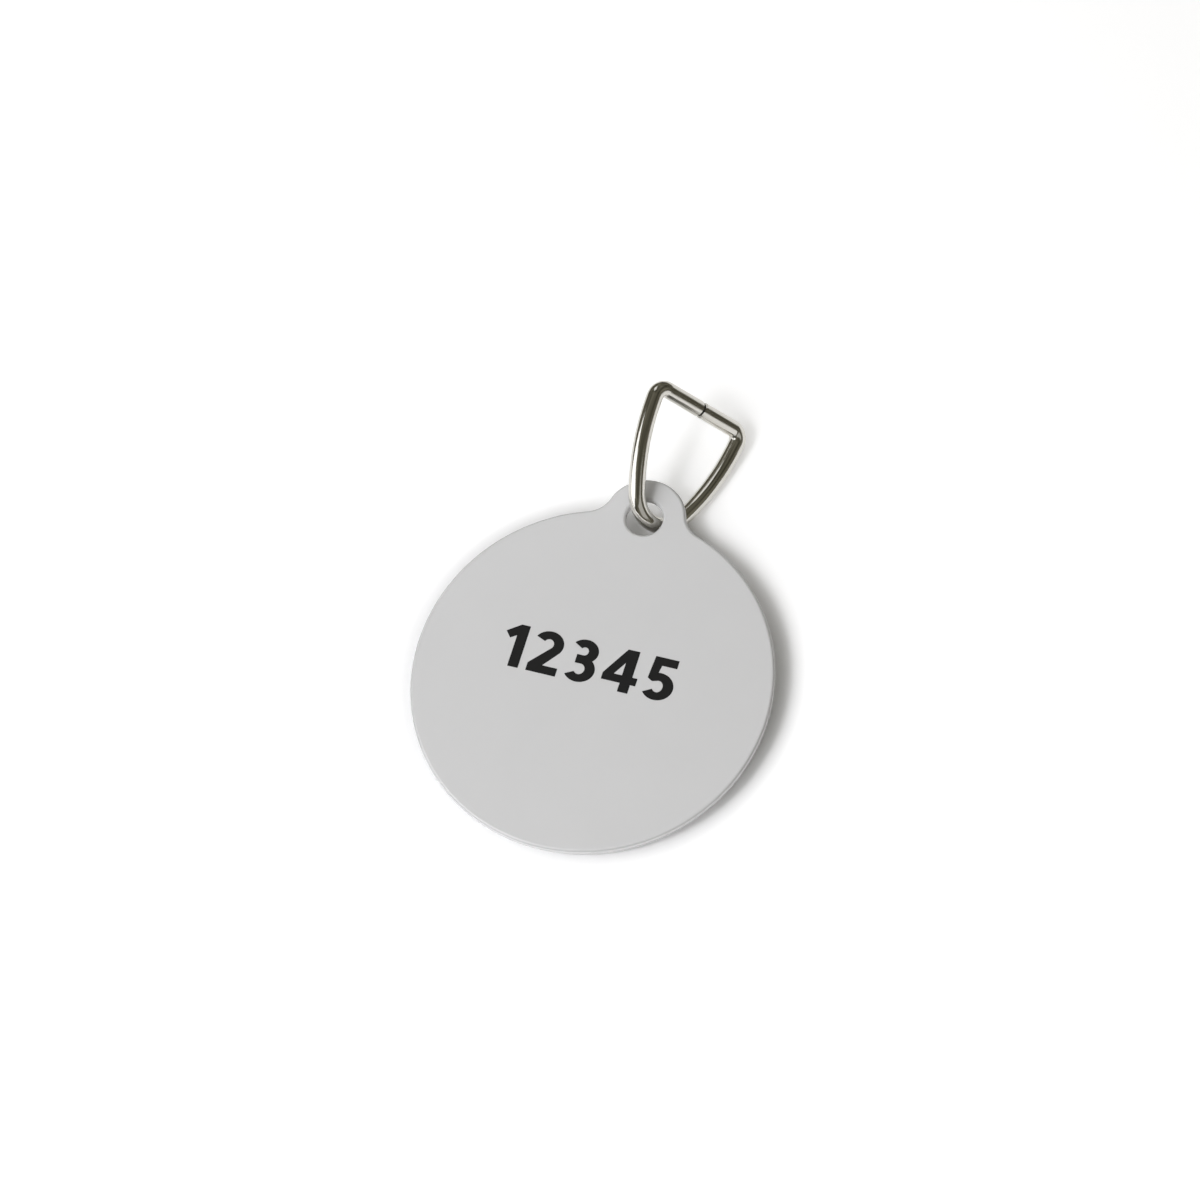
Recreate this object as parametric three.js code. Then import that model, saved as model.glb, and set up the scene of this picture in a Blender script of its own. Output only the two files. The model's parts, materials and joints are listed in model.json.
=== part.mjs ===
// Round pet tag on a bent wire link, lying on a flat surface.
// Millimetres and degrees, +Z up, the lug towards +Y, the printed face upwards.

import * as THREE from 'three'

// Tag blank: a round plate with a lug for the link
const TAG_DIAMETER = 32
const TAG_THICKNESS = 0.8
const EDGE_ROUND = 0.3 // rounding of every edge of the blank, the hole's too
const LUG_RADIUS = 3.65
const LUG_RISE = 3.35 // how far the lug stands out beyond the rim of the disc
const LUG_FILLET = 2.4 // hollow rounding between the lug and the disc
const HOLE_DIAMETER = 3.3 // concentric with the lug

// Link: one round wire, sizes over the outside of the finished bend
const WIRE_DIAMETER = 1.5
const LINK_WIDTH = 11.6 // along the straight bar
const LINK_HEIGHT = 12.5 // from the lower bend to the bar
const LOWER_BEND = 3.1 // radii to the middle of the wire
const CORNER_BEND = 1.0
const LEG_BOW = 19.7
const BUTT_GAP = 0.2 // between the two ends of the wire, in the middle of the bar

// How the link lies in the hole
const LINK_TWIST = 52 // between the bar and the plate
const LINK_SWING = 7.5 // to the right of the lug's axis
const LINK_LIFT = 8.8 // above the plate
const WIRE_SLIDE = 10.6 // round the lower bend, from its middle to the hole
const WIRE_OFFSET = 0.25 // of the wire from the middle of the hole, to the right
const LEAN_TURN = 15 // from the lug's axis to the way the plate leans, to the right

// Fineness of the curves
const DISC_STEP = 3.75
const SMALL_STEP = 11.25
const ROUND_STEPS = 3
const WIRE_SIDES = 14
const WIRE_STEPS = 132

const rad = THREE.MathUtils.degToRad
const UP = new THREE.Vector3(0, 0, 1)

// From the middle of the disc to the middle of the hole
const HOLE_OFFSET = TAG_DIAMETER / 2 + LUG_RISE - LUG_RADIUS

// Points of an arc from one angle to another, both ends included
function arc(cx, cy, radius, from, to, step) {
  const count = Math.max(2, Math.ceil(Math.abs(to - from) / rad(step)))
  const points = []
  for (let i = 0; i <= count; i++) {
    const a = from + ((to - from) * i) / count
    points.push(new THREE.Vector2(cx + radius * Math.cos(a), cy + radius * Math.sin(a)))
  }
  return points
}

// Outline of the blank: the disc, a hollow fillet, the lug, the other fillet
function blankOutline() {
  const disc = TAG_DIAMETER / 2
  const toDisc = disc + LUG_FILLET
  const toLug = LUG_RADIUS + LUG_FILLET
  const fy = (toDisc ** 2 - toLug ** 2 + HOLE_OFFSET ** 2) / (2 * HOLE_OFFSET)
  const fx = Math.sqrt(toDisc ** 2 - fy ** 2)
  const onDisc = Math.atan2(fy, fx)
  const onLug = Math.atan2(fy - HOLE_OFFSET, fx)
  const half = Math.PI
  const points = [
    ...arc(0, 0, disc, half - onDisc, 2 * half + onDisc, DISC_STEP),
    ...arc(fx, fy, LUG_FILLET, half + onDisc, half + onLug, SMALL_STEP).slice(1),
    ...arc(0, HOLE_OFFSET, LUG_RADIUS, onLug, half - onLug, SMALL_STEP).slice(1),
    ...arc(-fx, fy, LUG_FILLET, -onLug, -onDisc, SMALL_STEP).slice(1, -1),
  ]
  return new THREE.Shape(points)
}

function tagGeometry() {
  const outline = blankOutline()
  const hole = arc(0, HOLE_OFFSET, HOLE_DIAMETER / 2, 0, 2 * Math.PI, SMALL_STEP)
  outline.holes.push(new THREE.Path(hole.slice(0, -1)))
  const geometry = new THREE.ExtrudeGeometry(outline, {
    depth: TAG_THICKNESS - 2 * EDGE_ROUND,
    bevelEnabled: true,
    bevelThickness: EDGE_ROUND,
    bevelSize: EDGE_ROUND,
    bevelOffset: -EDGE_ROUND,
    bevelSegments: ROUND_STEPS,
  })
  // The middle of the thickness lies at height zero
  return geometry.translate(0, 0, EDGE_ROUND - TAG_THICKNESS / 2)
}

// A flat path as a curve in space
class FlatRun extends THREE.Curve {
  constructor(path) {
    super()
    this.path = path
  }

  getPoint(t, target = new THREE.Vector3()) {
    const point = this.path.getPoint(t)
    return target.set(point.x, point.y, 0)
  }
}

// Middle of the wire, from one end of the butt joint round to the other. The middle of the
// lower bend is at the origin and the bar runs along X above it.
function wireRun() {
  const half = (LINK_WIDTH - WIRE_DIAMETER) / 2
  const height = LINK_HEIGHT - WIRE_DIAMETER
  const cornerX = half - CORNER_BEND
  const cornerY = height - CORNER_BEND
  // The bow of the right leg touches the lower bend and the corner from outside, so its
  // middle is known from its distance to each of theirs
  const reach = Math.hypot(cornerX, cornerY - LOWER_BEND)
  const fromLower = LEG_BOW - LOWER_BEND
  const fromCorner = LEG_BOW - CORNER_BEND
  const along = (reach ** 2 + fromLower ** 2 - fromCorner ** 2) / (2 * reach)
  const across = Math.sqrt(fromLower ** 2 - along ** 2)
  const dx = cornerX / reach
  const dy = (cornerY - LOWER_BEND) / reach
  const bowX = along * dx - across * dy
  const bowY = LOWER_BEND + along * dy + across * dx
  const legFoot = Math.atan2(LOWER_BEND - bowY, -bowX)
  const legHead = Math.atan2(cornerY - bowY, cornerX - bowX)
  const turn = Math.PI
  const path = new THREE.Path()
  path.moveTo(BUTT_GAP / 2, height)
  path.lineTo(cornerX, height)
  path.absarc(cornerX, cornerY, CORNER_BEND, turn / 2, legHead, true)
  path.absarc(bowX, bowY, LEG_BOW, legHead, legFoot, true)
  path.absarc(0, LOWER_BEND, LOWER_BEND, legFoot, -turn - legFoot, true)
  path.absarc(-bowX, bowY, LEG_BOW, turn - legFoot, turn - legHead, true)
  path.absarc(-cornerX, cornerY, CORNER_BEND, turn - legHead, turn / 2, true)
  path.lineTo(-BUTT_GAP / 2, height)
  return new FlatRun(path)
}

function linkGeometry() {
  const section = arc(0, 0, WIRE_DIAMETER / 2, 0, 2 * Math.PI, 360 / WIRE_SIDES)
  const geometry = new THREE.ExtrudeGeometry(new THREE.Shape(section.slice(0, -1)), {
    steps: WIRE_STEPS,
    bevelEnabled: false,
    extrudePath: wireRun(),
  })
  // The part of the lower bend that lies in the hole comes to the origin
  const slide = rad(WIRE_SLIDE)
  const seatX = -LOWER_BEND * Math.sin(slide)
  const seatY = LOWER_BEND * (1 - Math.cos(slide))
  return geometry.translate(-seatX, -seatY, 0)
}

const coat = new THREE.MeshStandardMaterial({ color: 0xcbcbcb, roughness: 0.45 })
const nickel = new THREE.MeshStandardMaterial({
  color: 0xb9b5a8,
  metalness: 1,
  roughness: 0.12,
})

const tagPlate = new THREE.Mesh(tagGeometry(), coat)
tagPlate.name = 'tag_plate'

const linkRing = new THREE.Mesh(linkGeometry(), nickel)
linkRing.name = 'link_ring'

// The link sits in the hole, turned as it lies
const seat = new THREE.Group()
seat.position.set(WIRE_OFFSET, HOLE_OFFSET, 0)
seat.rotation.set(rad(LINK_LIFT), rad(LINK_TWIST), -rad(LINK_SWING), 'ZXY')
seat.add(linkRing)

const tag = new THREE.Group()
tag.add(tagPlate, seat)

// The point of a piece that lies lowest along a given upward direction
function lowest(mesh, upward) {
  const positions = mesh.geometry.getAttribute('position')
  const point = new THREE.Vector3()
  const found = new THREE.Vector3()
  let least = Infinity
  for (let i = 0; i < positions.count; i++) {
    point.fromBufferAttribute(positions, i).applyMatrix4(mesh.matrixWorld)
    const height = point.dot(upward)
    if (height < least) {
      least = height
      found.copy(point)
    }
  }
  return found
}

// The lower leg of the link props the lug up. The plate leans until its far rim and that leg
// touch one level surface, to the side that puts its weight over the line between them.
function restingUp() {
  tag.updateMatrixWorld(true)
  const uphill = new THREE.Vector3(Math.sin(rad(LEAN_TURN)), Math.cos(rad(LEAN_TURN)), 0)
  const upward = (lean) =>
    UP.clone().multiplyScalar(Math.cos(lean)).addScaledVector(uphill, Math.sin(lean))
  let level = 0
  let steep = rad(45)
  for (let i = 0; i < 40; i++) {
    const lean = (level + steep) / 2
    const up = upward(lean)
    if (lowest(linkRing, up).dot(up) < lowest(tagPlate, up).dot(up)) level = lean
    else steep = lean
  }
  return upward(level)
}

tag.quaternion.setFromUnitVectors(restingUp(), UP)

const group = new THREE.Group()
group.name = 'round_pet_tag'
group.add(tag)

// The surface is at height zero, with the part centred over the origin
const box = new THREE.Box3().setFromObject(group, true)
const middle = box.getCenter(new THREE.Vector3())
tag.position.set(-middle.x, -middle.y, -box.min.z)

export default group
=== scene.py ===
import json
import math
from collections import namedtuple

import bpy
from mathutils import Matrix, Vector
from mathutils.geometry import delaunay_2d_cdt


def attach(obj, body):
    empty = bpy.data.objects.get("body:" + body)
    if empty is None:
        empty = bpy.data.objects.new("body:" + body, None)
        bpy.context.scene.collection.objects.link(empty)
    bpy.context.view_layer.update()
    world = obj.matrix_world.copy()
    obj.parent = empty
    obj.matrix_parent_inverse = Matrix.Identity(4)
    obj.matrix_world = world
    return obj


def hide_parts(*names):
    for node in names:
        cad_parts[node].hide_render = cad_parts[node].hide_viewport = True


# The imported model: the frame that every piece is built in
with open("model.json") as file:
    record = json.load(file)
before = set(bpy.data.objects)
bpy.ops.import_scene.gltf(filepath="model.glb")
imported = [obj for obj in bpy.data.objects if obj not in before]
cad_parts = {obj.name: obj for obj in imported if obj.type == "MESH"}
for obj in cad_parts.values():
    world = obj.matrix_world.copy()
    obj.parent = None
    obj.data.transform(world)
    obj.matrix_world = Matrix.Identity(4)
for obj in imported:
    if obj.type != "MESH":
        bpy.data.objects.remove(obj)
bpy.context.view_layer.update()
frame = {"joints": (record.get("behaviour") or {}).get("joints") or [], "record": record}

MM = 0.001
FULL_TURN = 2 * math.pi
HALF_TURN = math.pi
QUARTER_TURN = math.pi / 2

# Tag blank, in millimetres
TAG_DIAMETER = 32.0
TAG_THICKNESS = 0.8
EDGE_ROUND = 0.3
LUG_RADIUS = 3.65
LUG_RISE = 3.35
LUG_FILLET = 2.4
HOLE_DIAMETER = 3.3
HOLE_OFFSET = TAG_DIAMETER / 2 + LUG_RISE - LUG_RADIUS

# Wire link, in millimetres; bend radii go to the middle of the wire
WIRE_DIAMETER = 1.5
LINK_WIDTH = 11.6
LINK_HEIGHT = 12.5
LOWER_BEND = 3.1
CORNER_BEND = 1.0
LEG_BOW = 19.7
BUTT_GAP = 0.2
END_CHAMFER = 0.12

# How the link lies in the hole, in degrees and millimetres
LINK_TWIST = 52.0
LINK_SWING = 7.5
LINK_LIFT = 8.8
WIRE_SLIDE = 10.6
WIRE_OFFSET = 0.25

# Printed number, in millimetres, measured from the middle of the disc
NUMBER = "12345"
DIGIT_HEIGHT = 4.0
DIGIT_STRETCH = 1.08
DIGIT_GAP = 0.71
NUMBER_MIDDLE_X = -0.71
NUMBER_MIDDLE_Y = 1.43
INK_RISE = 0.015
INK_SINK = 0.005

# Fineness of the curves, in degrees and counts
DISC_STEP = 1.0
SMALL_STEP = 4.0
ROUND_STEPS = 8
WIRE_SIDES = 40
BOW_STEP = 0.75
BAR_STEPS = 12
DIGIT_STEP = 6.0

# The values that a noise mostly stays between
NOISE_LOW = 0.3
NOISE_HIGH = 0.7

# Coat of the plate; noise scales are per metre and the height of the peel is in millimetres
COAT_DARK = (0.635, 0.635, 0.635)
COAT_LIGHT = (0.66, 0.66, 0.66)
COAT_ROUGHNESS = (0.17, 0.23)
COAT_IOR = 1.75
CLOUD_SCALE = 180.0
PEEL_SCALE = 3200.0
PEEL_HEIGHT = 0.004

# Painted shade line over the outer edge, where the rounded edge turns from the light: its tone
# against the faces, and how far the surface has turned over where the line starts, is darkest and ends
EDGE_SHADE_TONE = 0.7
EDGE_START = 0.35
EDGE_DARKEST = 0.8
EDGE_END = 0.94

# Plating of the wire; noise scales are per millimetre, the lines are stretched along the wire
# and their height is in millimetres
NICKEL_DARK = (0.59, 0.575, 0.53)
NICKEL_LIGHT = (0.625, 0.61, 0.57)
NICKEL_ROUGHNESS = (0.07, 0.14)
PATCH_SCALE = 1.2
LINE_SCALE = 9.0
LINE_STRETCH = (1.0, 1.0, 0.03)
LINE_HEIGHT = 0.006

# Ink of the number; the noise scale is per metre and the height of the grain is in millimetres
INK_DARK = (0.01, 0.01, 0.01)
INK_LIGHT = (0.015, 0.015, 0.015)
INK_ROUGHNESS = (0.5, 0.62)
INK_SPECULAR = 0.2
GRAIN_SCALE = 2500.0
GRAIN_HEIGHT = 0.003

# View of the photograph: its frame in pixels, the tag's middle in it and the scale there, the
# direction in degrees, the lens and sensor in millimetres, and how many times nearer and
# further than the tag the camera still sees
PHOTO_SIZE = 1200
TAG_MIDDLE_PIXEL = (592.27, 680.79)
PIXELS_PER_MM = 11.52
VIEW_AZIMUTH = 28.83
VIEW_ELEVATION = 63.07
VIEW_ROLL = -12.38
LENS = 207.0
SENSOR = 36.0
CLIP_RATIO = 100

# Lamps and cards: azimuth, elevation, spread across and spread up in degrees, how light a
# level white sheet gets from it, and whether it is a card that shows only as a reflection
Lamp = namedtuple("Lamp", "azimuth elevation across up level mirrored")
LAMPS = {
    "key_lamp": Lamp(-37.0, 63.0, 12.0, 12.0, level=0.205, mirrored=False),
    "front_lamp": Lamp(-20.0, 35.0, 50.0, 50.0, level=0.354, mirrored=False),
    "right_lamp": Lamp(20.0, 35.0, 50.0, 50.0, level=0.096, mirrored=False),
    "left_lamp": Lamp(-75.0, 60.0, 50.0, 50.0, level=0.125, mirrored=False),
    "back_lamp": Lamp(-150.0, 55.0, 60.0, 60.0, level=0.232, mirrored=False),
    "soft_card": Lamp(-48.0, 30.0, 50.0, 50.0, level=0.25, mirrored=True),
    "back_card": Lamp(-150.0, 53.0, 18.0, 26.0, level=0.037, mirrored=True),
    "side_strip": Lamp(53.3, 21.0, 50.0, 25.0, level=0.02, mirrored=True),
}
# How far off they stand, in metres, and their colour
LAMP_DISTANCE = 0.3
LAMP_TINT = (0.96, 0.966, 1.0)

# The room round the lamps: dim and uneven, between two colours, and how fine its patches are
ROOM_DARK = (0.045, 0.041, 0.028)
ROOM_LIGHT = (0.21, 0.2, 0.16)
ROOM_SCALE = 2.2

# The floor: half its width in millimetres, and its colour
FLOOR_HALF = 2000.0
FLOOR_WHITE = (0.97, 0.97, 0.97)

# Glow of the white floor to the eye, none under the tag and full further off: its strength,
# where it starts and is full from its middle, and where its middle lies from the tag's, in
# millimetres
GLOW = 0.3
GLOW_FROM = 16.4
GLOW_TO = 19.0
GLOW_SHIFT_X = -0.15
GLOW_SHIFT_Y = 0.48


def tag_place():
    """Row-frame matrix of the plate: middle of the disc, Y to the lug, Z out of the front."""
    swing = frame["joints"][0]
    front = Vector(swing["axis"]).normalized()
    hole = Vector(swing["pos_m"])
    mounts = {mount["name"]: mount for mount in frame["record"]["mounts"]}
    back = Vector(mounts["back_face"]["pos_m"])
    to_lug = hole - back
    to_lug = (to_lug - front * to_lug.dot(front)).normalized()
    across = to_lug.cross(front)
    turn = Matrix((across, to_lug, front)).transposed().to_4x4()
    return Matrix.Translation(hole - to_lug * HOLE_OFFSET * MM) @ turn


def link_place(tag_matrix):
    """Row-frame matrix of the flat wire path, seated and turned in the hole."""
    slide = math.radians(WIRE_SLIDE)
    hole = Vector((WIRE_OFFSET, HOLE_OFFSET, 0)) * MM
    on_bend = Vector((LOWER_BEND * math.sin(slide), -LOWER_BEND * (1 - math.cos(slide)), 0)) * MM
    swing = Matrix.Rotation(-math.radians(LINK_SWING), 4, "Z")
    lift = Matrix.Rotation(math.radians(LINK_LIFT), 4, "X")
    twist = Matrix.Rotation(math.radians(LINK_TWIST), 4, "Y")
    turn = swing @ lift @ twist
    return tag_matrix @ Matrix.Translation(hole) @ turn @ Matrix.Translation(on_bend)


def arc(cx, cy, radius, start, stop, step):
    """Points of an arc from one angle to another, each with its angle."""
    count = max(2, math.ceil(abs(stop - start) / math.radians(step)))
    points = []
    for i in range(count + 1):
        a = start + (stop - start) * i / count
        points.append((cx + radius * math.cos(a), cy + radius * math.sin(a), a))
    return points


def add_object(name, vertices, faces, material, matrix, normals=None):
    """A mesh object with its points in the row frame; normals, where given, are the smooth ones."""
    mesh = bpy.data.meshes.new(name)
    mesh.from_pydata([matrix @ (v * MM) for v in vertices], [], faces)
    mesh.materials.append(material)
    if normals:
        turn = matrix.to_3x3()
        mesh.shade_smooth()
        mesh.normals_split_custom_set_from_vertices([turn @ normal for normal in normals])
    mesh.update()
    piece = bpy.data.objects.new(name, mesh)
    bpy.context.scene.collection.objects.link(piece)
    return piece


def fill(contours):
    """Triangles between flat closed contours, as indices into all their points in order."""
    flat = [Vector(point) for contour in contours for point in contour]
    loops = []
    first = 0
    for contour in contours:
        loops.append(list(range(first, first + len(contour))))
        first += len(contour)
    holes_left_out = 5
    closeness = 1e-6
    _, _, faces, origin, _, _ = delaunay_2d_cdt(flat, [], loops, holes_left_out, closeness)
    return [tuple(origin[i][0] for i in face) for face in faces]


def blank_outline():
    """The blank's outer edge, counter-clockwise: points and directions out of the metal."""
    disc = TAG_DIAMETER / 2
    to_disc = disc + LUG_FILLET
    to_lug = LUG_RADIUS + LUG_FILLET
    fillet_y = (to_disc**2 - to_lug**2 + HOLE_OFFSET**2) / (2 * HOLE_OFFSET)
    fillet_x = math.sqrt(to_disc**2 - fillet_y**2)
    on_disc = math.atan2(fillet_y, fillet_x)
    on_lug = math.atan2(fillet_y - HOLE_OFFSET, fillet_x)
    runs = (
        (1, arc(0, 0, disc, HALF_TURN - on_disc, FULL_TURN + on_disc, DISC_STEP)),
        (-1, arc(fillet_x, fillet_y, LUG_FILLET, HALF_TURN + on_disc, HALF_TURN + on_lug, SMALL_STEP)),
        (1, arc(0, HOLE_OFFSET, LUG_RADIUS, on_lug, HALF_TURN - on_lug, SMALL_STEP)),
        (-1, arc(-fillet_x, fillet_y, LUG_FILLET, -on_lug, -on_disc, SMALL_STEP)),
    )
    points = []
    for side, run in runs:
        for x, y, a in run[:-1]:
            points.append((Vector((x, y)), side * Vector((math.cos(a), math.sin(a)))))
    return points


def hole_outline():
    """The hole's edge, clockwise, so that the metal lies on the same side as for the outer edge."""
    run = arc(0, HOLE_OFFSET, HOLE_DIAMETER / 2, FULL_TURN, 0, SMALL_STEP)[:-1]
    return [(Vector((x, y)), -Vector((math.cos(a), math.sin(a)))) for x, y, a in run]


def edge_levels():
    """Steps over an edge from front to back: inset, height, and the normal's parts up and out."""
    flat = TAG_THICKNESS / 2 - EDGE_ROUND
    levels = []
    for side in (1, -1):
        for i in range(ROUND_STEPS + 1):
            a = QUARTER_TURN * i / ROUND_STEPS
            if side < 0:
                a = QUARTER_TURN - a
            inset = EDGE_ROUND * (1 - math.sin(a))
            height = side * (flat + EDGE_ROUND * math.cos(a))
            levels.append((inset, height, side * math.cos(a), math.sin(a)))
    return levels


def edge_band(outline, levels, first):
    """A rounded edge from front to back: its points, their normals and the faces between."""
    vertices = []
    normals = []
    for inset, height, up, out in levels:
        for point, away in outline:
            place = point - away * inset
            vertices.append(Vector((place.x, place.y, height)))
            normals.append(Vector((away.x * out, away.y * out, up)))
    count = len(outline)
    faces = []
    for level in range(len(levels) - 1):
        for i in range(count):
            a = first + level * count + i
            b = first + level * count + (i + 1) % count
            faces.append((a, a + count, b + count, b))
    return vertices, normals, faces


def flat_face(vertices, rings, turned):
    """A flat face of the blank, between the ring of its outer edge and that of its hole."""
    index = [i for ring in rings for i in ring]
    faces = []
    for face in fill([[vertices[i].xy for i in ring] for ring in rings]):
        corners = [index[i] for i in face]
        faces.append(tuple(reversed(corners)) if turned else tuple(corners))
    return faces


def build_tag(matrix, material):
    """The stamped blank: two flat faces and rounded edges round the outline and the hole."""
    vertices = []
    normals = []
    faces = []
    turns = []
    front_rings = []
    back_rings = []
    levels = edge_levels()
    for outline, painted_shade in ((blank_outline(), 1), (hole_outline(), 0)):
        first = len(vertices)
        count = len(outline)
        band_vertices, band_normals, band_faces = edge_band(outline, levels, first)
        vertices += band_vertices
        normals += band_normals
        faces += band_faces
        # Only the outer edge carries the painted shade line; the hole's edge gets none
        turns += [out * painted_shade for _, _, _, out in levels for _ in outline]
        front_rings.append(range(first, first + count))
        back_rings.append(range(len(vertices) - count, len(vertices)))
    faces += flat_face(vertices, front_rings, turned=False)
    faces += flat_face(vertices, back_rings, turned=True)
    piece = add_object("tag_blank", vertices, faces, material, matrix, normals)
    # How far the surface has turned over the outer edge: 0 on the faces, 1 on the side wall
    turn = piece.data.attributes.new("turn", "FLOAT", "POINT")
    turn.data.foreach_set("value", turns)
    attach(piece, "tag")
    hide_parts("tag_plate")


def wire_path():
    """Middle of the wire from one end of the butt joint to the other: points and directions."""
    half = (LINK_WIDTH - WIRE_DIAMETER) / 2
    height = LINK_HEIGHT - WIRE_DIAMETER
    corner_x = half - CORNER_BEND
    corner_y = height - CORNER_BEND
    # The bow of a leg touches the lower bend and the corner from outside
    reach = math.hypot(corner_x, corner_y - LOWER_BEND)
    from_lower = LEG_BOW - LOWER_BEND
    from_corner = LEG_BOW - CORNER_BEND
    along = (reach**2 + from_lower**2 - from_corner**2) / (2 * reach)
    across = math.sqrt(from_lower**2 - along**2)
    dx = corner_x / reach
    dy = (corner_y - LOWER_BEND) / reach
    bow_x = along * dx - across * dy
    bow_y = LOWER_BEND + along * dy + across * dx
    foot = math.atan2(LOWER_BEND - bow_y, -bow_x)
    head = math.atan2(corner_y - bow_y, corner_x - bow_x)
    bar = [BUTT_GAP / 2 + (corner_x - BUTT_GAP / 2) * i / BAR_STEPS for i in range(BAR_STEPS)]
    right = [(x, height, QUARTER_TURN) for x in bar]
    right += arc(corner_x, corner_y, CORNER_BEND, QUARTER_TURN, head, SMALL_STEP)[:-1]
    right += arc(bow_x, bow_y, LEG_BOW, head, foot, BOW_STEP)[:-1]
    right += arc(0, LOWER_BEND, LOWER_BEND, foot, -QUARTER_TURN, SMALL_STEP)
    left = [(-x, y, HALF_TURN - a) for x, y, a in reversed(right[:-1])]
    return [(Vector((x, y, 0)), Vector((math.cos(a), math.sin(a), 0))) for x, y, a in right + left]


def wire_rings():
    """Rings along the wire, smaller at its ends: middle, direction, radius and place along it."""
    radius = WIRE_DIAMETER / 2
    path = wire_path()
    rings = []
    run = 0.0
    for i, (point, away) in enumerate(path):
        if i:
            run += (point - path[i - 1][0]).length
        rings.append((point, away, radius, run))
    start, start_away = path[0]
    end, end_away = path[-1]
    inwards = Vector((END_CHAMFER, 0, 0))
    rings[0] = (start + inwards, start_away, radius, END_CHAMFER)
    rings[-1] = (end - inwards, end_away, radius, run - END_CHAMFER)
    rings.insert(0, (start, start_away, radius - END_CHAMFER, 0.0))
    rings.append((end, end_away, radius - END_CHAMFER, run))
    return rings


def build_link(matrix, material):
    """The bent wire, with its two ends cut square at the butt joint."""
    radius = WIRE_DIAMETER / 2
    rings = wire_rings()
    vertices = []
    normals = []
    places = []
    sideways = Vector((0, 0, 1))
    for point, away, ring_radius, at in rings:
        for k in range(WIRE_SIDES):
            a = FULL_TURN * k / WIRE_SIDES
            out = away * math.cos(a) + sideways * math.sin(a)
            vertices.append(point + out * ring_radius)
            normals.append(out)
            places.append((radius * math.cos(a), radius * math.sin(a), at))
    faces = []
    for level in range(len(rings) - 1):
        for k in range(WIRE_SIDES):
            a = level * WIRE_SIDES + k
            b = level * WIRE_SIDES + (k + 1) % WIRE_SIDES
            faces.append((a, b, b + WIRE_SIDES, a + WIRE_SIDES))
    last = (len(rings) - 1) * WIRE_SIDES
    faces.append(tuple(reversed(range(WIRE_SIDES))))
    faces.append(tuple(range(last, last + WIRE_SIDES)))
    piece = add_object("link_wire", vertices, faces, material, matrix, normals)
    # The place on the unbent wire: across, across, along
    unbent = piece.data.attributes.new("unbent", "FLOAT_VECTOR", "POINT")
    unbent.data.foreach_set("vector", [x for place in places for x in place])
    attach(piece, "link")
    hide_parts("link_ring")


def bend(cx, cy, half_width, half_height, start, stop):
    """Flat points of a round stretch of a digit; angles in degrees."""
    run = arc(0, 0, 1, math.radians(start), math.radians(stop), DIGIT_STEP)
    return [(cx + half_width * x, cy + half_height * y) for x, y, _ in run]


# Digits as closed outlines in a box of height 1, with the outside of each first


def digit_one():
    flag = [(0.275, 1.0), (0.0, 0.79), (0.115, 0.645), (0.24, 0.735)]
    return [[(0.24, 0.0), (0.46, 0.0), (0.46, 1.0)] + flag]


def digit_two():
    bowl = (0.325, 0.70)
    lean = -38
    tip = 155
    outer = bend(*bowl, 0.315, 0.30, lean, tip)
    inner = bend(*bowl, 0.105, 0.115, tip, lean)
    base = [(0.02, 0.0), (0.65, 0.0), (0.65, 0.19), (0.325, 0.19)]
    return [base + outer + inner + [(0.02, 0.185)]]


def digit_three():
    lower = (0.30, 0.305)
    upper = (0.30, 0.725)
    waist_on_lower = 48.95
    waist_on_upper = -43.7
    tip = 145
    outside = bend(*lower, 0.325, 0.305, -tip, waist_on_lower)
    outside += bend(*upper, 0.295, 0.275, waist_on_upper, tip)[1:]
    bar = [(0.17, 0.63), (0.17, 0.43)]
    inside = bend(*upper, 0.085, 0.095, tip, -90) + bar + bend(*lower, 0.11, 0.125, 90, -tip)
    return [outside + inside]


def digit_four():
    stem = [(0.40, 0.0), (0.62, 0.0), (0.62, 0.205)]
    bar = [(0.73, 0.205), (0.73, 0.385), (0.62, 0.385)]
    slope = [(0.62, 1.0), (0.37, 1.0), (0.0, 0.36), (0.0, 0.205), (0.40, 0.205)]
    counter = [(0.225, 0.385), (0.40, 0.685), (0.40, 0.385)]
    return [stem + bar + slope, counter]


def digit_five():
    bowl = (0.295, 0.32)
    tip = -145
    outer = bend(*bowl, 0.33, 0.32, tip, 100)
    flag = [(0.265, 0.81), (0.58, 0.81), (0.58, 1.0), (0.085, 1.0), (0.05, 0.475), (0.155, 0.415)]
    inner = bend(*bowl, 0.11, 0.135, 112, tip)
    return [outer + flag + inner]


def ink_layer(contours, first):
    """A thin slab of ink in the contours of one digit: its points and faces."""
    front = TAG_THICKNESS / 2
    vertices = []
    for height in (front + INK_RISE, front - INK_SINK):
        vertices += [Vector((x, y, height)) for contour in contours for x, y in contour]
    count = len(vertices) // 2
    faces = []
    for face in fill(contours):
        faces.append(tuple(first + i for i in face))
        faces.append(tuple(first + count + i for i in reversed(face)))
    start = first
    for contour in contours:
        for i in range(len(contour)):
            a = start + i
            b = start + (i + 1) % len(contour)
            faces.append((a, a + count, b + count, b))
        start += len(contour)
    return vertices, faces


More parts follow.
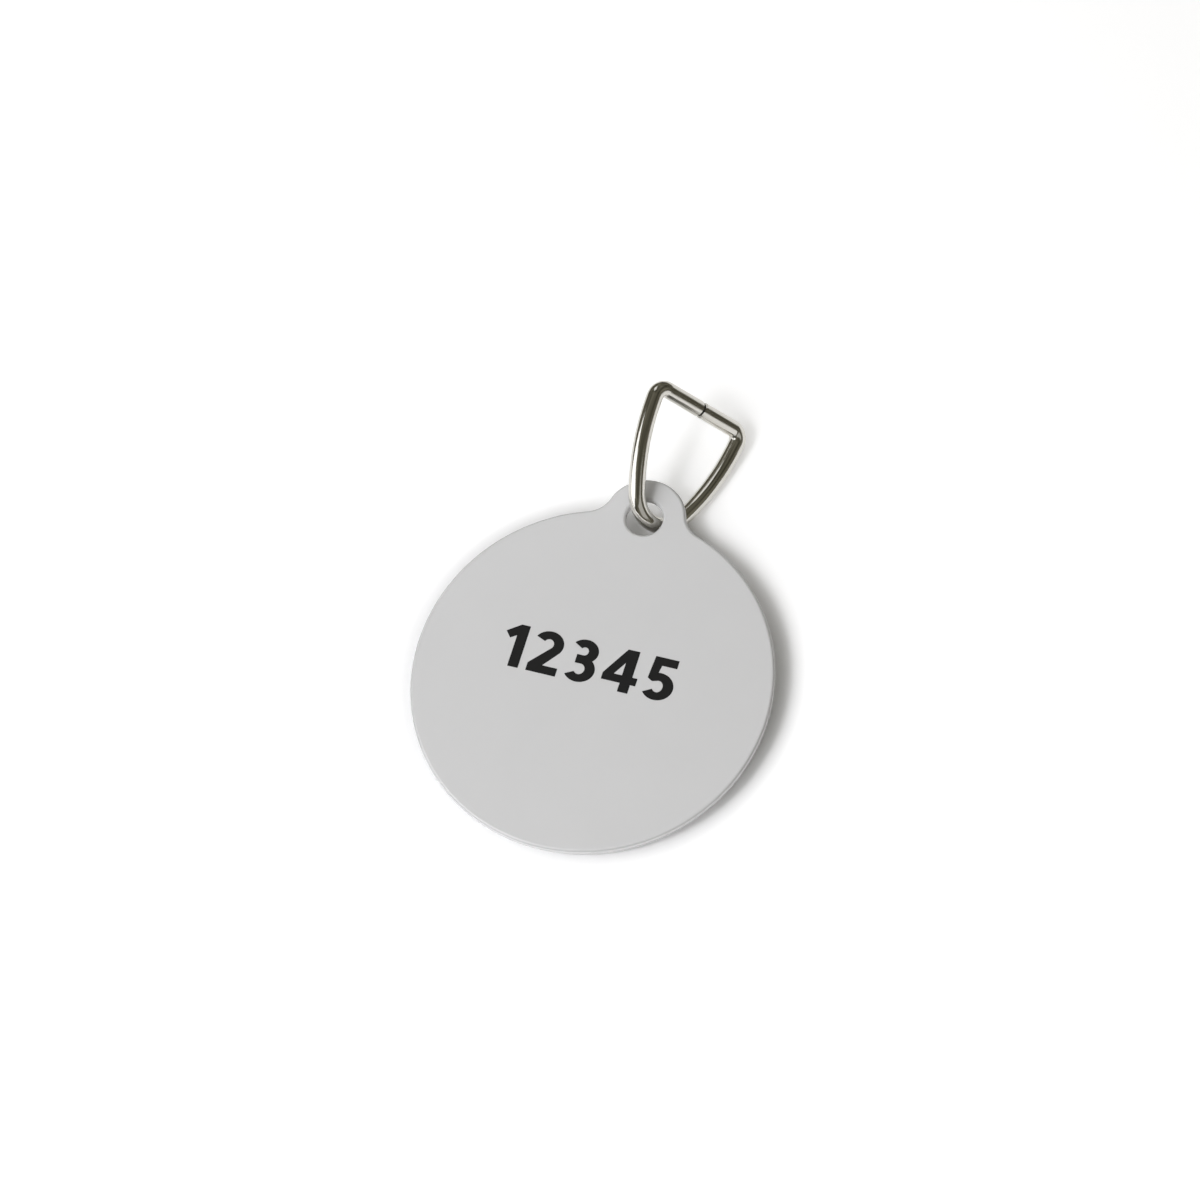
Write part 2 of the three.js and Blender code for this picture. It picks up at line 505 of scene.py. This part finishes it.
def build_number(matrix, material):
    """A plain number in a thin raised layer of ink on the front of the plate."""
    shapes = {"1": digit_one, "2": digit_two, "3": digit_three, "4": digit_four, "5": digit_five}
    glyphs = [shapes[c]() for c in NUMBER]
    wide = DIGIT_HEIGHT * DIGIT_STRETCH
    edges = [min(x for x, _ in glyph[0]) * wide for glyph in glyphs]
    widths = [max(x for x, _ in glyph[0]) * wide - edge for glyph, edge in zip(glyphs, edges)]
    left = NUMBER_MIDDLE_X - (sum(widths) + DIGIT_GAP * (len(glyphs) - 1)) / 2
    bottom = NUMBER_MIDDLE_Y - DIGIT_HEIGHT / 2
    vertices = []
    faces = []
    for glyph, edge, width in zip(glyphs, edges, widths):
        contours = [[(left - edge + x * wide, bottom + y * DIGIT_HEIGHT) for x, y in c] for c in glyph]
        digit_vertices, digit_faces = ink_layer(contours, len(vertices))
        vertices += digit_vertices
        faces += digit_faces
        left += width + DIGIT_GAP
    piece = add_object("printed_number", vertices, faces, material, matrix)
    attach(piece, "tag")


def new_material(name):
    """A node material with a bare shader: the material, its nodes, its links, the shader."""
    material = bpy.data.materials.new(name)
    material.use_nodes = True
    nodes = material.node_tree.nodes
    links = material.node_tree.links
    return material, nodes, links, nodes["Principled BSDF"]


def noise(nodes, links, vector, scale, detail):
    """A soft noise over a place or direction."""
    node = nodes.new("ShaderNodeTexNoise")
    node.inputs["Scale"].default_value = scale
    node.inputs["Detail"].default_value = detail
    links.new(vector, node.inputs["Vector"])
    return node.outputs["Fac"]


def between(nodes, links, value, low, high):
    """A noise value spread between two numbers."""
    node = nodes.new("ShaderNodeMapRange")
    node.inputs["From Min"].default_value = NOISE_LOW
    node.inputs["From Max"].default_value = NOISE_HIGH
    node.inputs["To Min"].default_value = low
    node.inputs["To Max"].default_value = high
    links.new(value, node.inputs["Value"])
    return node.outputs["Result"]


def tint(nodes, links, value, low, high):
    """A colour that goes from one to another with a value."""
    node = nodes.new("ShaderNodeMix")
    node.data_type = "RGBA"
    node.inputs["A"].default_value = (*low, 1)
    node.inputs["B"].default_value = (*high, 1)
    links.new(value, node.inputs["Factor"])
    return node.outputs["Result"]


def bump(nodes, links, value, height, shader):
    """Fine relief on a surface, from a noise value; its height is in millimetres."""
    node = nodes.new("ShaderNodeBump")
    node.inputs["Strength"].default_value = 1.0
    node.inputs["Distance"].default_value = height * MM
    links.new(value, node.inputs["Height"])
    links.new(node.outputs["Normal"], shader.inputs["Normal"])


def painted_edge_shade(nodes, links, colour):
    """A colour made darker along a line on the rounded outer edge: painted shade where the edge turns
    from the light.
    """
    turn = nodes.new("ShaderNodeAttribute")
    turn.attribute_name = "turn"
    edge = nodes.new("ShaderNodeValToRGB")
    first, last = edge.color_ramp.elements
    first.position = EDGE_START
    first.color = (1, 1, 1, 1)
    last.position = EDGE_END
    last.color = (1, 1, 1, 1)
    edge.color_ramp.elements.new(EDGE_DARKEST).color = (EDGE_SHADE_TONE, EDGE_SHADE_TONE, EDGE_SHADE_TONE, 1)
    links.new(turn.outputs["Fac"], edge.inputs["Fac"])
    painted_shade = nodes.new("ShaderNodeMix")
    painted_shade.data_type = "RGBA"
    painted_shade.blend_type = "MULTIPLY"
    painted_shade.inputs["Factor"].default_value = 1.0
    links.new(colour, painted_shade.inputs["A"])
    links.new(edge.outputs["Color"], painted_shade.inputs["B"])
    return painted_shade.outputs["Result"]


def satin_coat():
    """Light grey baked coat: fine orange peel, faint clouds, a satin sheen and painted shade along the
    edge.
    """
    material, nodes, links, shader = new_material("satin_coat")
    place = nodes.new("ShaderNodeTexCoord").outputs["Object"]
    clouds = noise(nodes, links, place, CLOUD_SCALE, detail=3.0)
    peel = noise(nodes, links, place, PEEL_SCALE, detail=2.0)
    grey = tint(nodes, links, clouds, COAT_DARK, COAT_LIGHT)
    # The grey is darkened by a painted shade line along the rounded outer edge
    links.new(painted_edge_shade(nodes, links, grey), shader.inputs["Base Color"])
    links.new(between(nodes, links, peel, *COAT_ROUGHNESS), shader.inputs["Roughness"])
    shader.inputs["IOR"].default_value = COAT_IOR
    bump(nodes, links, peel, PEEL_HEIGHT, shader)
    return material


def nickel_plate():
    """Polished nickel on drawn wire: faint lengthwise drawing lines and patches of duller metal."""
    material, nodes, links, shader = new_material("nickel_plate")
    unbent = nodes.new("ShaderNodeAttribute")
    unbent.attribute_name = "unbent"
    stretch = nodes.new("ShaderNodeMapping")
    stretch.inputs["Scale"].default_value = LINE_STRETCH
    links.new(unbent.outputs["Vector"], stretch.inputs["Vector"])
    lines = noise(nodes, links, stretch.outputs["Vector"], LINE_SCALE, detail=4.0)
    patches = noise(nodes, links, unbent.outputs["Vector"], PATCH_SCALE, detail=2.0)
    links.new(tint(nodes, links, patches, NICKEL_DARK, NICKEL_LIGHT), shader.inputs["Base Color"])
    links.new(between(nodes, links, patches, *NICKEL_ROUGHNESS), shader.inputs["Roughness"])
    shader.inputs["Metallic"].default_value = 1.0
    bump(nodes, links, lines, LINE_HEIGHT, shader)
    return material


def dark_ink():
    """Dense black print: slightly uneven in gloss and depth."""
    material, nodes, links, shader = new_material("dark_ink")
    place = nodes.new("ShaderNodeTexCoord").outputs["Object"]
    grain = noise(nodes, links, place, GRAIN_SCALE, detail=3.0)
    links.new(tint(nodes, links, grain, INK_DARK, INK_LIGHT), shader.inputs["Base Color"])
    links.new(between(nodes, links, grain, *INK_ROUGHNESS), shader.inputs["Roughness"])
    shader.inputs["Specular IOR Level"].default_value = INK_SPECULAR
    bump(nodes, links, grain, GRAIN_HEIGHT, shader)
    return material


def seen_rays(nodes, links):
    """1 for the rays by which the floor is seen: straight, mirrored or through something clear."""
    rays = nodes.new("ShaderNodeLightPath")
    total = rays.outputs["Is Camera Ray"]
    for kind in ("Is Glossy Ray", "Is Transmission Ray"):
        either = nodes.new("ShaderNodeMath")
        either.operation = "ADD"
        links.new(total, either.inputs[0])
        links.new(rays.outputs[kind], either.inputs[1])
        total = either.outputs["Value"]
    return total


def glow_strength(nodes, links):
    """Strength of the glow over the floor: none round its middle, full further off."""
    reach = nodes.new("ShaderNodeVectorMath")
    reach.operation = "LENGTH"
    links.new(nodes.new("ShaderNodeTexCoord").outputs["Object"], reach.inputs[0])
    glow = nodes.new("ShaderNodeMapRange")
    glow.interpolation_type = "SMOOTHSTEP"
    glow.inputs["From Min"].default_value = GLOW_FROM * MM
    glow.inputs["From Max"].default_value = GLOW_TO * MM
    glow.inputs["To Max"].default_value = GLOW
    links.new(reach.outputs["Value"], glow.inputs["Value"])
    return glow.outputs["Result"]


def white_floor():
    """Matt white, with a glow to the eye that starts just beyond the plate's edge."""
    material, nodes, links, shader = new_material("white_floor")
    shader.inputs["Base Color"].default_value = (*FLOOR_WHITE, 1)
    shader.inputs["Roughness"].default_value = 1.0
    shader.inputs["Specular IOR Level"].default_value = 0.0
    shader.inputs["Emission Color"].default_value = (1, 1, 1, 1)
    glow = nodes.new("ShaderNodeMath")
    glow.operation = "MULTIPLY"
    links.new(seen_rays(nodes, links), glow.inputs[0])
    links.new(glow_strength(nodes, links), glow.inputs[1])
    links.new(glow.outputs["Value"], shader.inputs["Emission Strength"])
    return material


def build_floor(target):
    """A wide level sheet, with its own middle where that of its glow is."""
    sides = ((-1, -1), (1, -1), (1, 1), (-1, 1))
    corners = [Vector((x * FLOOR_HALF, y * FLOOR_HALF, 0)) for x, y in sides]
    floor = add_object("floor", corners, [(0, 1, 2, 3)], white_floor(), Matrix.Identity(4))
    floor.location = (target.x + GLOW_SHIFT_X * MM, target.y + GLOW_SHIFT_Y * MM, 0)


def outwards(azimuth, elevation):
    """Direction from the object towards a place round it; azimuth 0 is in front, at -Y."""
    a = math.radians(azimuth)
    e = math.radians(elevation)
    return Vector((math.sin(a) * math.cos(e), -math.cos(a) * math.cos(e), math.sin(e)))


def build_lamp(name, lamp, target):
    """A panel facing the tag, at the power that lights a level white sheet to its level."""
    towards = outwards(lamp.azimuth, lamp.elevation)
    panel = bpy.data.lights.new(name, "AREA")
    panel.shape = "RECTANGLE"
    panel.size = 2 * LAMP_DISTANCE * math.tan(math.radians(lamp.across / 2))
    panel.size_y = 2 * LAMP_DISTANCE * math.tan(math.radians(lamp.up / 2))
    panel.energy = lamp.level * math.pi**2 * LAMP_DISTANCE**2 / towards.z
    panel.color = LAMP_TINT
    stand = bpy.data.objects.new(name, panel)
    stand.location = target + towards * LAMP_DISTANCE
    stand.rotation_mode = "QUATERNION"
    stand.rotation_quaternion = (-towards).to_track_quat("-Z", "Y")
    stand.visible_glossy = lamp.mirrored
    stand.visible_diffuse = not lamp.mirrored
    bpy.context.scene.collection.objects.link(stand)


def build_room():
    """The dim surroundings that the wire mirrors between the cards."""
    world = bpy.data.worlds.new("studio")
    bpy.context.scene.world = world
    world.use_nodes = True
    nodes = world.node_tree.nodes
    links = world.node_tree.links
    direction = nodes.new("ShaderNodeTexCoord").outputs["Generated"]
    patches = between(nodes, links, noise(nodes, links, direction, ROOM_SCALE, detail=1.0), 0.0, 1.0)
    links.new(tint(nodes, links, patches, ROOM_DARK, ROOM_LIGHT), nodes["Background"].inputs["Color"])


def build_camera(target):
    """The photograph's view: the target lies at its pixel, and the plate has its size there."""
    pixels = LENS / SENSOR * PHOTO_SIZE
    distance = pixels / PIXELS_PER_MM * MM
    towards = outwards(VIEW_AZIMUTH, VIEW_ELEVATION)
    data = bpy.data.cameras.new("photo_view")
    data.lens = LENS
    data.sensor_width = SENSOR
    data.clip_start = distance / CLIP_RATIO
    data.clip_end = distance * CLIP_RATIO
    camera = bpy.data.objects.new("photo_view", data)
    aimed = (-towards).to_track_quat("-Z", "Y").to_matrix().to_4x4()
    roll = Matrix.Rotation(math.radians(VIEW_ROLL), 4, "Z")
    middle = PHOTO_SIZE / 2
    left = math.atan((middle - TAG_MIDDLE_PIXEL[0]) / pixels)
    down = math.atan((TAG_MIDDLE_PIXEL[1] - middle) / pixels)
    off_axis = Matrix.Rotation(-left, 4, "Y") @ Matrix.Rotation(down, 4, "X")
    camera.matrix_world = Matrix.Translation(target + towards * distance) @ aimed @ roll @ off_axis
    bpy.context.scene.collection.objects.link(camera)
    bpy.context.scene.camera = camera


tag_matrix = tag_place()
tag_middle = tag_matrix.translation
bpy.context.scene.view_settings.view_transform = "Standard"
build_camera(tag_middle)
build_tag(tag_matrix, satin_coat())
build_link(link_place(tag_matrix), nickel_plate())
build_number(tag_matrix, dark_ink())
build_floor(tag_middle)
for lamp_name, lamp_values in LAMPS.items():
    build_lamp(lamp_name, lamp_values, tag_middle)
build_room()
